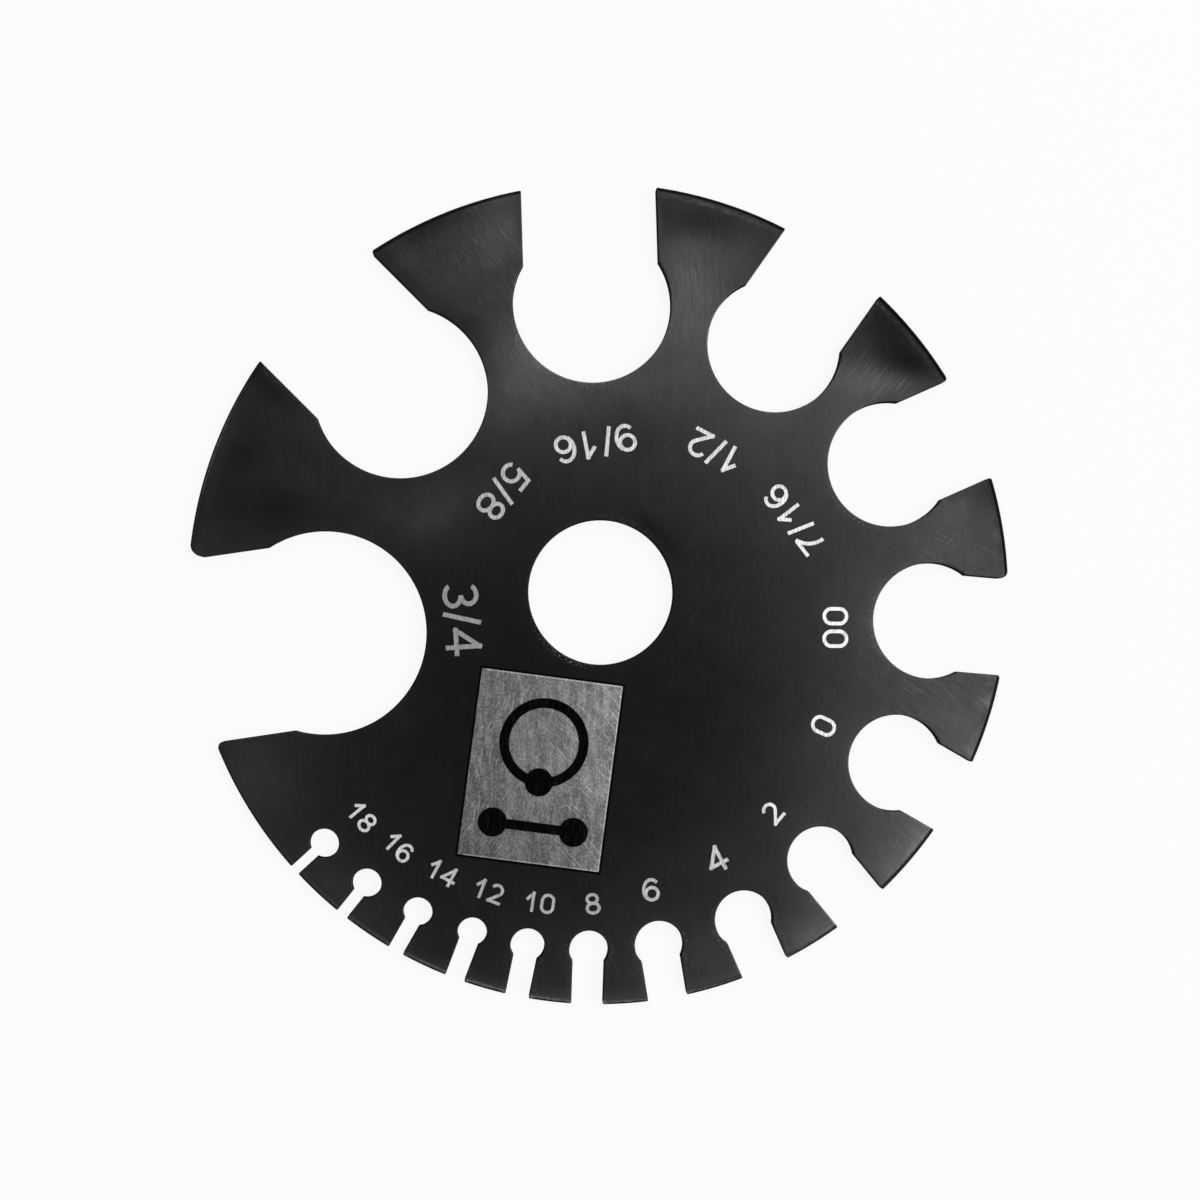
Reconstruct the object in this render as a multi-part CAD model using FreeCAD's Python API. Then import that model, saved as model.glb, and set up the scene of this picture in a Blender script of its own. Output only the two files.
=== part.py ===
import FreeCAD, Part
import math
import os
from collections import namedtuple
from FreeCAD import Vector

# Gauge wheel for body jewellery: one flat steel disc, blackened all over. Sixteen keyhole
# notches stand round its rim. Each is a slot as wide as the bar that it gauges, open at the rim,
# with a round relief at its inner end and its size engraved below that.
# The disc lies on its underside at z = 0, engraved face up, and the origin is on the axis of the
# centre hole. Lengths are in millimetres and angles in degrees, counter-clockwise from +X.

# Disc
disc_diameter = 85.0
disc_thickness = 2.0
hole_diameter = 15.0
rim_round = 0.6           # radius that rounds the rim, above and below

# Slots
bar_clearance = 0.05      # a slot is this much wider than the bar that it gauges
tip_round = 0.2           # plan radius of the corner where a slot's side meets the rim
# Corners that polishing has blunted: their radii on the clockwise and the other side of a slot
blunted_tips = {"3/4": (1.3, 0.7), "00": (0.4, 0.9), "7/16": (0.4, 0.5), "5/8": (0.4, 0.2)}

# Engraving
engraving_depth = 0.1
digit_pitch = 0.865       # width of a digit's cell, as a share of the label's height
slash_pitch = 0.41        # width of a fraction stroke's cell, likewise
line_least = 0.12         # the engraved line is this wide, and wider by line_share of the height
line_share = 0.1

# Bare panel, cut as deep as the figures, with a plain sign left standing in it
panel_width = 14.65
panel_height = 19.3
panel_turn = -7.5         # turn of the panel about the centre hole
panel_shift = -3.8        # sideways from the centre hole to the panel's middle line
panel_hole_gap = 1.85     # from the centre hole's edge to the panel's upper edge
sign_line = 1.0           # width of the sign's lines
ring_diameter = 8.2       # the sign's ring, to the middle of its line
ring_bead_diameter = 2.9
barbell_length = 8.4      # between the middles of the barbell's balls
barbell_ball_diameter = 3.0
sign_gap = 1.7            # from the ring's bead to the barbell's balls

# One row for each notch. bar is the bar or wire that it gauges, relief_over is how much wider
# than the bar its round relief is, neck is the slot's length from the rim to the relief, and
# angle is where the notch points. The label stands gap below the relief and is height tall,
# shift to the reader's right of the notch's middle line, and turned by lean.
Notch = namedtuple("Notch", "label bar relief_over neck angle height gap shift lean")
notches = [
    Notch("18", 1.0, 2.0, 2.6, 222.25, 2.1, 2.15, 0.5, -2.9),
    Notch("16", 1.2, 1.8, 2.6, 231.2, 2.1, 2.4, 0.15, -6.0),
    Notch("14", 1.6, 1.4, 3.1, 240.2, 2.1, 2.2, 0.1, 1.3),
    Notch("12", 2.0, 1.0, 3.6, 249.25, 2.1, 2.0, 0.0, 0.0),
    Notch("10", 2.4, 1.1, 3.6, 258.25, 2.1, 1.75, 0.25, 3.3),
    Notch("8", 3.2, 0.8, 3.6, 268.05, 2.25, 1.65, 0.25, 8.6),
    Notch("6", 4.0, 1.0, 3.1, 279.35, 2.45, 2.05, 0.1, -9.5),
    Notch("4", 5.0, 1.0, 2.6, 293.6, 2.8, 2.45, -0.1, 3.8),
    Notch("2", 6.0, 1.0, 3.1, 309.4, 2.35, 2.35, -0.75, 9.7),
    Notch("0", 8.0, 2.0, 2.1, 330.0, 2.7, 2.15, -0.45, 4.9),
    Notch("00", 10.0, 2.0, 2.1, 355.1, 2.7, 2.5, -1.55, 4.6),
    Notch("7/16", 11.0, 2.0, 3.1, 23.95, 2.75, 3.65, -1.2, 13.9),
    Notch("1/2", 12.0, 2.0, 4.1, 54.9, 3.0, 4.15, -1.4, 7.2),
    Notch("9/16", 14.0, 2.4, 4.4, 91.75, 2.95, 4.85, 0.1, 9.1),
    Notch("5/8", 16.0, 2.0, 4.2, 135.0, 3.15, 4.2, -0.2, 6.7),
    Notch("3/4", 19.0, 2.0, 3.2, 188.4, 3.75, 1.85, 0.6, -4.5),
]

# Worked out from the sizes above
rim_radius = disc_diameter / 2
hole_radius = hole_diameter / 2
through = disc_thickness  # how far every cutter runs past both faces

# A figure is the paths of the engraving cutter's middle, in a cell one unit high from the middle
# of its lowest line to the middle of its highest. Its width is measured in the same way.
Line = namedtuple("Line", "x1 y1 x2 y2")
Oval = namedtuple("Oval", "cx cy rx ry start end")
Figure = namedtuple("Figure", "width paths")
figures = {
    "0": Figure(0.66, [[
        Oval(0.33, 0.69, 0.33, 0.31, 90, 180), Line(0, 0.69, 0, 0.31),
        Oval(0.33, 0.31, 0.33, 0.31, 180, 360), Line(0.66, 0.31, 0.66, 0.69),
        Oval(0.33, 0.69, 0.33, 0.31, 0, 90),
    ]]),
    "1": Figure(0.31, [[Line(0, 0.66, 0.31, 1), Line(0.31, 1, 0.31, 0)]]),
    "2": Figure(0.66, [[
        Oval(0.32, 0.70, 0.31, 0.30, 160, -45), Line(0.54, 0.488, 0, 0), Line(0, 0, 0.66, 0),
    ]]),
    "3": Figure(0.66, [
        [Oval(0.33, 0.755, 0.29, 0.245, 155, -90)],
        [Oval(0.33, 0.255, 0.33, 0.255, 90, -155)],
    ]),
    "4": Figure(0.74, [[Line(0.54, 0, 0.54, 1), Line(0.54, 1, 0, 0.27), Line(0, 0.27, 0.74, 0.27)]]),
    "5": Figure(0.64, [
        [Line(0.58, 1, 0.14, 1), Line(0.14, 1, 0.043, 0.48)],
        [Oval(0.32, 0.32, 0.32, 0.32, 150, -150)],
    ]),
    "6": Figure(0.72, [
        [Oval(0.375, 0.5, 0.375, 0.5, 44, 240)],
        [Oval(0.415, 0.305, 0.305, 0.305, 0, 360)],
    ]),
    "7": Figure(0.68, [[Line(0, 1, 0.68, 1), Oval(1.18, 0.0, 1.06, 1.06, 110, 180)]]),
    "8": Figure(0.65, [
        [Oval(0.325, 0.765, 0.28, 0.235, 0, 360)],
        [Oval(0.325, 0.265, 0.325, 0.265, 0, 360)],
    ]),
    "/": Figure(0.30, [[Line(0, -0.02, 0.30, 1.02)]]),
}


def polar(radius, angle):
    return Vector(radius * math.cos(math.radians(angle)), radius * math.sin(math.radians(angle)), 0)


def prism(outline, bottom, top):
    wall = outline.copy()
    wall.translate(Vector(0, 0, bottom))
    return Part.Face(wall).extrude(Vector(0, 0, top - bottom))


def arc_edge(start, middle, end):
    return Part.Arc(start, middle, end).toShape()


def line_edge(start, end):
    return Part.LineSegment(start, end).toShape()


# The disc before its notches: a rectangle with two rounded corners, turned about the z axis.
def turned_disc():
    flat = rim_radius - rim_round
    diagonal = rim_round * (1 - math.sqrt(0.5))
    lower = arc_edge(
        Vector(flat, 0, 0), Vector(rim_radius - diagonal, 0, diagonal), Vector(rim_radius, 0, rim_round)
    )
    upper = arc_edge(
        Vector(rim_radius, 0, disc_thickness - rim_round),
        Vector(rim_radius - diagonal, 0, disc_thickness - diagonal),
        Vector(flat, 0, disc_thickness),
    )
    edges = [
        line_edge(Vector(0, 0, 0), Vector(flat, 0, 0)),
        lower,
        line_edge(Vector(rim_radius, 0, rim_round), Vector(rim_radius, 0, disc_thickness - rim_round)),
        upper,
        line_edge(Vector(flat, 0, disc_thickness), Vector(0, 0, disc_thickness)),
        line_edge(Vector(0, 0, disc_thickness), Vector(0, 0, 0)),
    ]
    return Part.Face(Part.Wire(edges)).revolve(Vector(0, 0, 0), Vector(0, 0, 1), 360)


# Radius of a notch's round relief.
def relief_radius(notch):
    return (notch.bar + notch.relief_over) / 2


# Distance from the centre hole's axis to the middle of a notch's relief.
def relief_distance(notch):
    return rim_radius - notch.neck - relief_radius(notch)


# A tooth's corner beside a slot that points along +X, on the side of the given sign: where the
# slot's side ends, the middle of the rounded corner, its end on the rim, and a point outside that.
def tooth_corner(half, radius, sign):
    corner_y = half + radius
    corner_x = math.sqrt((rim_radius - radius) ** 2 - corner_y ** 2)
    tip_angle = math.degrees(math.atan2(corner_y, corner_x))
    points = [
        Vector(corner_x, half, 0),
        Vector(corner_x, corner_y, 0) + polar(radius, (tip_angle - 90) / 2),
        polar(rim_radius, tip_angle),
        polar(rim_radius + through, tip_angle),
    ]
    return [Vector(point.x, sign * point.y, 0) for point in points]


# Outline of a notch that points along +X: relief, parallel sides and a rounded corner on each
# tooth, closed outside the rim.
def notch_outline(notch):
    half = (notch.bar + bar_clearance) / 2
    round_end = relief_radius(notch)
    middle = relief_distance(notch)
    radii = blunted_tips.get(notch.label, (tip_round, tip_round))
    outer1, corner1, tip1, clear1 = tooth_corner(half, radii[0], -1)
    outer2, corner2, tip2, clear2 = tooth_corner(half, radii[1], 1)
    side_start = middle + math.sqrt(round_end ** 2 - half ** 2)
    inner1 = Vector(side_start, -half, 0)
    inner2 = Vector(side_start, half, 0)
    return Part.Wire([
        line_edge(inner2, outer2),
        arc_edge(outer2, corner2, tip2),
        line_edge(tip2, clear2),
        line_edge(clear2, clear1),
        line_edge(clear1, tip1),
        arc_edge(tip1, corner1, outer1),
        line_edge(outer1, inner1),
        arc_edge(inner1, Vector(middle - round_end, 0, 0), inner2),
    ])


# Cutter for one notch, through the disc.
def notch_cutter(notch):
    cutter = prism(notch_outline(notch), -through, disc_thickness + through)
    cutter.rotate(Vector(0, 0, 0), Vector(0, 0, 1), notch.angle)
    return cutter


def hole_cutter():
    return Part.makeCylinder(hole_radius, disc_thickness + 2 * through, Vector(0, 0, -through))


# Arc of an oval with its axes along X and Y, between two angles.
def oval_edge(oval, grow):
    rx = oval.rx + grow
    ry = oval.ry + grow
    centre = Vector(oval.cx, oval.cy, 0)
    low = math.radians(min(oval.start, oval.end))
    high = math.radians(max(oval.start, oval.end))
    if math.isclose(rx, ry):
        return Part.Circle(centre, Vector(0, 0, 1), rx).toShape(low, high)
    if rx > ry:
        return Part.Ellipse(centre, rx, ry).toShape(low, high)
    quarter = math.pi / 2
    tall = Part.Ellipse(centre + Vector(0, ry, 0), centre - Vector(rx, 0, 0), centre)
    return tall.toShape(low - quarter, high - quarter)


# Area that a round cutter of the given width covers along an oval.
def oval_area(oval, width):
    outer = oval_edge(oval, width / 2)
    inner = oval_edge(oval, -width / 2)
    if abs(oval.end - oval.start) == 360:
        return Part.Face(Part.Wire([outer])).cut(Part.Face(Part.Wire([inner]))).Faces[0]
    ends = [
        line_edge(outer.Vertexes[i].Point, inner.Vertexes[i].Point) for i in (0, 1)
    ]
    return Part.Face(Part.Wire([outer, ends[1], inner, ends[0]]))


# Direction in which a path leaves a step, or enters it.
def heading(step, at_end):
    if isinstance(step, Line):
        return Vector(step.x2 - step.x1, step.y2 - step.y1, 0)
    angle = math.radians(step.end if at_end else step.start)
    turn = 1 if step.end > step.start else -1
    return Vector(-turn * step.rx * math.sin(angle), turn * step.ry * math.cos(angle), 0)


# How far a line runs on at a corner, so that the outer sides of the two strokes meet. A blunt
# corner is left where they would meet far outside, and a free end runs on by half the width.
def run_on(step, neighbour, at_end, width):
    if neighbour is None:
        return width / 2
    here = heading(step, at_end)
    there = heading(neighbour, not at_end)
    turn = here.getAngle(there)
    return width / 2 * math.tan(min(turn / 2, math.pi / 4))


# Area that the cutter covers along a line.
def line_area(line, width, before, after):
    start = Vector(line.x1, line.y1, 0)
    end = Vector(line.x2, line.y2, 0)
    along = (end - start).normalize()
    side = Vector(-along.y, along.x, 0) * (width / 2)
    start = start - along * run_on(line, before, False, width)
    end = end + along * run_on(line, after, True, width)
    corners = [start + side, end + side, end - side, start - side]
    return Part.Face(Part.makePolygon(corners + corners[:1]))


# A nine is a six turned over.
def turned_over(six):
    def turned(oval):
        return Oval(
            six.width - oval.cx, 1 - oval.cy, oval.rx, oval.ry, oval.start + 180, oval.end + 180
        )

    return Figure(six.width, [[turned(oval) for oval in path] for path in six.paths])


figures["9"] = turned_over(figures["6"])


def scaled(step, x, y, size):
    if isinstance(step, Line):
        return Line(x + step.x1 * size, y + step.y1 * size, x + step.x2 * size, y + step.y2 * size)
    return Oval(
        x + step.cx * size, y + step.cy * size, step.rx * size, step.ry * size, step.start, step.end
    )


# Areas of one figure, with the middle of its cell at x and its foot on y = 0.
def figure_areas(name, x, height):
    figure = figures[name]
    width = line_least + line_share * height
    size = height - width
    left = x - figure.width * size / 2
    areas = []
    for path in figure.paths:
        steps = [scaled(step, left, width / 2, size) for step in path]
        neighbours = [None] + steps + [None]
        for i, step in enumerate(steps):
            if isinstance(step, Oval):
                areas.append(oval_area(step, width))
            else:
                areas.append(line_area(step, width, neighbours[i], neighbours[i + 2]))
    return areas


# Engraving of one label, cut into the upper face below its notch.
def label_cutters(notch):
    pitches = [slash_pitch if figure == "/" else digit_pitch for figure in notch.label]
    total = sum(pitches) * notch.height
    x = -total / 2
    cutters = []
    for figure, pitch in zip(notch.label, pitches):
        cell = pitch * notch.height
        solids = [
            area.extrude(Vector(0, 0, engraving_depth + through))
            for area in figure_areas(figure, x + cell / 2, notch.height)
        ]
        cutters.append(fused(solids))
        x += cell
    distance = relief_distance(notch) - relief_radius(notch) - notch.gap - notch.height / 2
    for cutter in cutters:
        cutter.translate(Vector(0, -notch.height / 2, disc_thickness - engraving_depth))
        cutter.rotate(Vector(0, 0, 0), Vector(0, 0, 1), notch.lean)
        cutter.translate(Vector(notch.shift, -distance, 0))
        cutter.rotate(Vector(0, 0, 0), Vector(0, 0, 1), notch.angle + 90)
    return cutters


def fused(solids):
    if len(solids) == 1:
        return solids[0]
    return solids[0].multiFuse(solids[1:]).removeSplitter()


def rod(x, y, diameter, height):
    return Part.makeCylinder(diameter / 2, height, Vector(x, y, 0))


# The plain sign in the panel: a ring closed by a bead, over a straight barbell.
def sign_solid(height):
    stack = ring_diameter + ring_bead_diameter / 2 + sign_line / 2 + sign_gap + barbell_ball_diameter
    top = stack / 2
    ring_y = top - sign_line / 2 - ring_diameter / 2
    bead_y = ring_y - ring_diameter / 2
    bar_y = bead_y - ring_bead_diameter / 2 - sign_gap - barbell_ball_diameter / 2
    ring = rod(0, ring_y, ring_diameter + sign_line, height)
    ring = ring.cut(rod(0, ring_y, ring_diameter - sign_line, height))
    bar = Part.makeBox(
        barbell_length, sign_line, height, Vector(-barbell_length / 2, bar_y - sign_line / 2, 0)
    )
    balls = [rod(side * barbell_length / 2, bar_y, barbell_ball_diameter, height) for side in (-1, 1)]
    return [fused([ring, rod(0, bead_y, ring_bead_diameter, height)]), fused([bar] + balls)]


# Cutter for the bare panel, with the sign left out of it.
def panel_cutter():
    height = engraving_depth + through
    middle_y = -(hole_radius + panel_hole_gap + panel_height / 2)
    plate = Part.makeBox(
        panel_width, panel_height, height, Vector(-panel_width / 2, -panel_height / 2, 0)
    )
    cutter = plate.cut(sign_solid(height))
    cutter.translate(Vector(panel_shift, middle_y, disc_thickness - engraving_depth))
    cutter.rotate(Vector(0, 0, 0), Vector(0, 0, 1), panel_turn)
    return cutter


def gauge_disc():
    disc = turned_disc().cut(hole_cutter())
    for notch in notches:
        disc = disc.cut(notch_cutter(notch))
    disc = disc.cut(panel_cutter())
    for notch in notches:
        disc = disc.cut(label_cutters(notch))
    return disc


def main():
    os.makedirs("parts", exist_ok=True)
    disc = gauge_disc()
    disc.Solids[0].exportStep("parts/gauge_disc.step")
    print("solids", len(disc.Solids), "valid", disc.isValid(), "volume", round(disc.Volume, 1))


main()
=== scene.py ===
import math

import bpy
from mathutils import Matrix, Vector
from mathutils.bvhtree import BVHTree
from mathutils.geometry import delaunay_2d_cdt


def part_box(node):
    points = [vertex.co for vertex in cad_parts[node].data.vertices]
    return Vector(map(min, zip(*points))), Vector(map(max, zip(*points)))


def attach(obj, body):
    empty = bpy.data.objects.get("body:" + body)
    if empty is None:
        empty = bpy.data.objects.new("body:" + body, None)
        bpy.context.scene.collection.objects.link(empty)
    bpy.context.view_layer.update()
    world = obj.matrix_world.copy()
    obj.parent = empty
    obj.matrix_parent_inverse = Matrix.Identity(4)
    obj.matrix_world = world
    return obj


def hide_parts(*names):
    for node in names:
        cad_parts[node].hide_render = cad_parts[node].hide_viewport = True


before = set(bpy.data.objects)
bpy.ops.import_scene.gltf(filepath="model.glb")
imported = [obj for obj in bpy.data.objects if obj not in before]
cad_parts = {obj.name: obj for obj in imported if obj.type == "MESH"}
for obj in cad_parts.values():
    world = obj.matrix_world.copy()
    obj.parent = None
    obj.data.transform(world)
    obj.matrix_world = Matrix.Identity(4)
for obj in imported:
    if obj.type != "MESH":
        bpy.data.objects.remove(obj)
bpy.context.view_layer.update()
print("frame loaded")

mm = 0.001  # the disc's own sizes below are in millimetres
screenGamma = 2.2
noiseRange = (0.3, 0.7)  # where most values of a noise texture lie

# The finish of the disc's edges, and how finely its surfaces are divided
disc = {
    "rimRound": 0.6,      # radius of the rim, above and below
    "edgeBreak": 0.07,    # rounded edge along the notches and the centre hole
    "breakSteps": 3,
    "holdingLine": 0.16,  # a line just inside, that keeps the flat face flat up to the rounded edge
    "rimSteps": 7,
    "tipRound": 0.2,      # plan radius where a slot meets the rim
    "barClearance": 0.05,
    "arcStep": 0.22,      # spacing of points along round walls
    "tipStep": 0.06,      # and round the corners of the teeth
    "rimStep": 0.8,       # degrees between points round the rim
    "gridStep": 1.0,      # spacing of points on the flat face
    "rollOff": 0.018,     # how far hand polishing lowers the face along its edges
    "rollWidth": 2.0,
    "waveHeight": 0.012,  # gentle hollows of a hand polished face
    "wavePitch": (0.31, 0.17, 0.27),  # how closely they follow each other
    "waveSwing": 1.3,     # how far they swing sideways
    "waveStart": 0.8,
    "engraved": (0.05, 0.5),  # the engraved floors lie between these depths
    "steep": 0.75,        # faces that stand more upright than this are walls
    "sharpEdge": 38,      # degrees above which an edge is shaded sharp
    "floorSkin": 0.03,    # thickness of the bare steel on the engraved floors
}

# Size: bar, how much wider its relief is, neck length, direction in degrees, tone of its figures,
# partly their own grey and partly painted light from the lamps
notches = {
    "18": (1.0, 2.0, 2.6, 222.25, 0.95),
    "16": (1.2, 1.8, 2.6, 231.2, 0.90),
    "14": (1.6, 1.4, 3.1, 240.2, 0.82),
    "12": (2.0, 1.0, 3.6, 249.25, 0.74),
    "10": (2.4, 1.1, 3.6, 258.25, 0.75),
    "8": (3.2, 0.8, 3.6, 268.05, 0.72),
    "6": (4.0, 1.0, 3.1, 279.35, 0.77),
    "4": (5.0, 1.0, 2.6, 293.6, 0.81),
    "2": (6.0, 1.0, 3.1, 309.4, 0.93),
    "0": (8.0, 2.0, 2.1, 330.0, 0.93),
    "00": (10.0, 2.0, 2.1, 355.1, 0.97),
    "7/16": (11.0, 2.0, 3.1, 23.95, 0.91),
    "1/2": (12.0, 2.0, 4.1, 54.9, 0.88),
    "9/16": (14.0, 2.4, 4.4, 91.75, 0.86),
    "5/8": (16.0, 2.0, 4.2, 135.0, 0.76),
    "3/4": (19.0, 2.0, 3.2, 188.4, 0.64),
}

# Corners that polishing has blunted: radii on the clockwise and the other side of a slot
bluntedTips = {"3/4": (1.3, 0.7), "00": (0.4, 0.9), "7/16": (0.4, 0.5), "5/8": (0.4, 0.2)}

# The bare panel under the centre hole
panel = {"centre": (-6.25, -18.35), "width": 14.65, "height": 19.3, "turn": -7.5}

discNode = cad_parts["gauge_disc"]
low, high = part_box("gauge_disc")
thickness = (high.z - low.z) / mm
spans = [vertex.co.xy.length / mm for vertex in discNode.data.vertices]
rimRadius = max(spans)
boreRadius = min(spans)
rimSpacing = math.radians(disc["rimStep"]) * rimRadius


def polar(radius, angle):
    return Vector((radius * math.cos(angle), radius * math.sin(angle)))


def turned(point, angle):
    return Vector(point).to_2d() @ Matrix.Rotation(-angle, 2)


def arcPoints(centre, radius, start, end, step):
    count = max(2, math.ceil(abs(end - start) * max(radius, 0.2) / step))
    angles = [start + (end - start) * i / count for i in range(count + 1)]
    return [Vector(centre) + polar(radius, angle) for angle in angles]


def toothCorner(half, radius):
    y = half + radius
    x = math.sqrt((rimRadius - radius) ** 2 - y ** 2)
    return {"x": x, "y": y, "radius": radius, "tip": math.atan2(y, x)}


def notchShape(size):
    bar, reliefOver, neck, angle = notches[size][:4]
    half = (bar + disc["barClearance"]) / 2
    relief = (bar + reliefOver) / 2
    radii = bluntedTips.get(size, (disc["tipRound"], disc["tipRound"]))
    return {
        "half": half,
        "relief": relief,
        "middle": rimRadius - neck - relief,
        "before": toothCorner(half, radii[0]),
        "after": toothCorner(half, radii[1]),
        "angle": math.radians(angle),
    }


shapes = [notchShape(size) for size in notches]
shapes.sort(key=lambda shape: shape["angle"] % math.tau)


# The wall of one notch from tooth to tooth, moved into the metal by grow
def notchWall(shape, grow):
    first, last, quarter = shape["before"], shape["after"], math.pi / 2
    start, end, middle = (first["x"], -first["y"]), (last["x"], last["y"]), (shape["middle"], 0)
    relief = shape["relief"] + grow
    reach = math.asin((shape["half"] + grow) / relief)
    below = arcPoints(start, first["radius"] - grow, -first["tip"], quarter, disc["tipStep"])
    bowl = arcPoints(middle, relief, -reach, reach - math.tau, disc["arcStep"])
    above = arcPoints(end, last["radius"] - grow, -quarter, last["tip"], disc["tipStep"])
    return [turned(point, shape["angle"]) for point in below + bowl + above]


# Distance in the metal from the nearest wall of one notch
def wallDistance(shape, point):
    local = turned(point, -shape["angle"])
    corner = shape["after"] if local.y > 0 else shape["before"]
    x, y = local.x, abs(local.y)
    fromBowl = math.hypot(x - shape["middle"], y) - shape["relief"]
    if x > corner["x"]:
        if y > corner["y"]:
            return min(fromBowl, rimRadius)
        return corner["radius"] - math.hypot(x - corner["x"], y - corner["y"])
    if x > shape["middle"]:
        return min(fromBowl, y - shape["half"])
    return fromBowl


def edgeDistance(point):
    nearest = min(wallDistance(shape, point) for shape in shapes)
    return min(nearest, Vector(point).length - boreRadius)


def roundDrop(distance, radius):
    if distance >= radius:
        return 0.0
    return radius - math.sqrt(max(0.0, radius ** 2 - (radius - max(0.0, distance)) ** 2))


# How far a point of a face lies below the flat: rounded edges, polished roll-off, gentle hollows
def faceDrop(point, distance):
    alongWalls = roundDrop(distance, disc["edgeBreak"])
    edges = max(alongWalls, roundDrop(rimRadius - point.length, disc["rimRound"]))
    roll = disc["rollOff"] * max(0.0, 1 - distance / disc["rollWidth"]) ** 2
    across, swing, upward = disc["wavePitch"]
    swung = disc["waveSwing"] * math.sin(point.y * swing)
    wave = math.sin(point.x * across + swung) * math.sin(point.y * upward + disc["waveStart"])
    return edges + roll + disc["waveHeight"] * (0.5 + 0.5 * wave)


def steps(count, radius):
    return [radius * (1 - math.cos(math.pi / 2 * i / count)) for i in range(count + 1)]


# Engraved floors of the CAD solid, in millimetres
def engravedFloors():
    mesh = discNode.data
    points = [vertex.co / mm for vertex in mesh.vertices]
    shallowest, deepest = disc["engraved"]
    found = []
    for face in mesh.polygons:
        depth = thickness - face.center.z / mm
        if face.normal.z > 0.99 and shallowest < depth < deepest:
            found.append([points[i] for i in face.vertices])
    return found


floors = engravedFloors()
floorDepth = thickness - floors[0][0].z
floorFinder = BVHTree.FromPolygons(
    [corner for floor in floors for corner in floor],
    [(3 * i, 3 * i + 1, 3 * i + 2) for i in range(len(floors))],
)


def isEngraved(point):
    start = Vector((point.x, point.y, thickness + 1))
    return floorFinder.ray_cast(start, Vector((0, 0, -1)))[0] is not None


# Plan of the disc: its points and the lines that its triangles keep to
plan = {"points": [], "lines": []}


def addLine(points, closed):
    first = len(plan["points"])
    plan["points"] += [Vector(point).to_2d() for point in points]
    last = len(plan["points"]) - 1
    plan["lines"] += [(i, i + 1) for i in range(first, last)]
    if closed:
        plan["lines"].append((last, first))


def addOutline():
    outline = []
    for i, shape in enumerate(shapes):
        outline += notchWall(shape, 0)
        following = shapes[(i + 1) % len(shapes)]
        start = shape["angle"] + shape["after"]["tip"]
        end = following["angle"] - following["before"]["tip"]
        if end < start:
            end += math.tau
        outline += arcPoints((0, 0), rimRadius, start, end, rimSpacing)[1:-1]
    addLine(outline, True)


def addCircle(radius, step):
    addLine(arcPoints((0, 0), radius, 0, math.tau, step)[:-1], True)


def addEdgeLines():
    insets = steps(disc["breakSteps"], disc["edgeBreak"]) + [disc["holdingLine"]]
    for grow in insets[1:]:
        for shape in shapes:
            addLine(notchWall(shape, grow), False)
    for grow in insets:
        addCircle(boreRadius + grow, disc["arcStep"])
    for inset in steps(disc["rimSteps"], disc["rimRound"])[1:]:
        addCircle(rimRadius - inset, rimSpacing)


def addEngraving():
    sides = {}
    for floor in floors:
        keys = [(round(corner.x, 4), round(corner.y, 4)) for corner in floor]
        for a, b in zip(keys, keys[1:] + keys[:1]):
            sides.setdefault(frozenset((a, b)), []).append((a, b))
    for side in sides.values():
        if len(side) == 1:
            addLine([Vector(side[0][0]), Vector(side[0][1])], False)


def addGrid():
    step = disc["gridStep"]
    rowStep = step * math.sqrt(3) / 2
    rows, columns = int(rimRadius / rowStep) + 1, int(rimRadius / step) + 1
    for row in range(-rows, rows + 1):
        for column in range(-columns, columns + 1):
            point = Vector(((column + 0.5 * (row % 2)) * step, row * rowStep))
            clear = point.length < rimRadius - disc["rimRound"] - step / 3
            if clear and edgeDistance(point) > step / 2:
                plan["points"].append(point)


addOutline()
addEdgeLines()
addEngraving()
addGrid()
flat = delaunay_2d_cdt(plan["points"], plan["lines"], [], 0, 1e-5, False)
planPoints, planFaces = flat[0], flat[2]
distances = [edgeDistance(point) for point in planPoints]
print("plan:", len(planPoints), "points,", len(planFaces), "triangles")


def counterClockwise(face):
    a, b, c = (planPoints[i] for i in face)
    return face if (b - a).cross(c - a) > 0 else face[::-1]


def middleOf(face):
    return sum((planPoints[i] for i in face), Vector((0, 0))) / 3


# Triangles of the flat face, and those that the engraving has cut
solidFaces, carvedFaces = [], []
for face in planFaces:
    face = counterClockwise(list(face))
    middle = middleOf(face)
    if middle.length > rimRadius or edgeDistance(middle) < 0:
        continue
    (carvedFaces if isEngraved(middle) else solidFaces).append(face)


# Steep faces take the second material, if there is one
def meshPiece(name, points, faces, materials, values):
    mesh = bpy.data.meshes.new(name)
    mesh.from_pydata([Vector(point) * mm for point in points], [], faces)
    for key, numbers in values.items():
        layer = mesh.attributes.new(key, "FLOAT", "POINT")
        layer.data.foreach_set("value", numbers)
    for material in materials:
        mesh.materials.append(material)
    for face in mesh.polygons:
        if len(materials) > 1 and abs(face.normal.z) < disc["steep"]:
            face.material_index = 1
    mesh.shade_smooth()
    mesh.set_sharp_from_angle(angle=math.radians(disc["sharpEdge"]))
    piece = bpy.data.objects.new(name, mesh)
    bpy.context.scene.collection.objects.link(piece)
    even = piece.modifiers.new("evenShading", "WEIGHTED_NORMAL")
    even.keep_sharp = True
    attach(piece, "root")
    return piece


# Sides of triangles that no other triangle of the list shares, in the direction of their face
def openSides(faces):
    sides = {(a, b) for face in faces for a, b in zip(face, face[1:] + face[:1])}
    return [side for side in sides if side[::-1] not in sides]


# Walls from one level up to another, along the open sides of some triangles
def wallsOf(faces, corner, foot, head):
    return [
        [corner(foot, a), corner(foot, b), corner(head, b), corner(head, a)]
        for a, b in openSides(faces)
    ]
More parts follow.
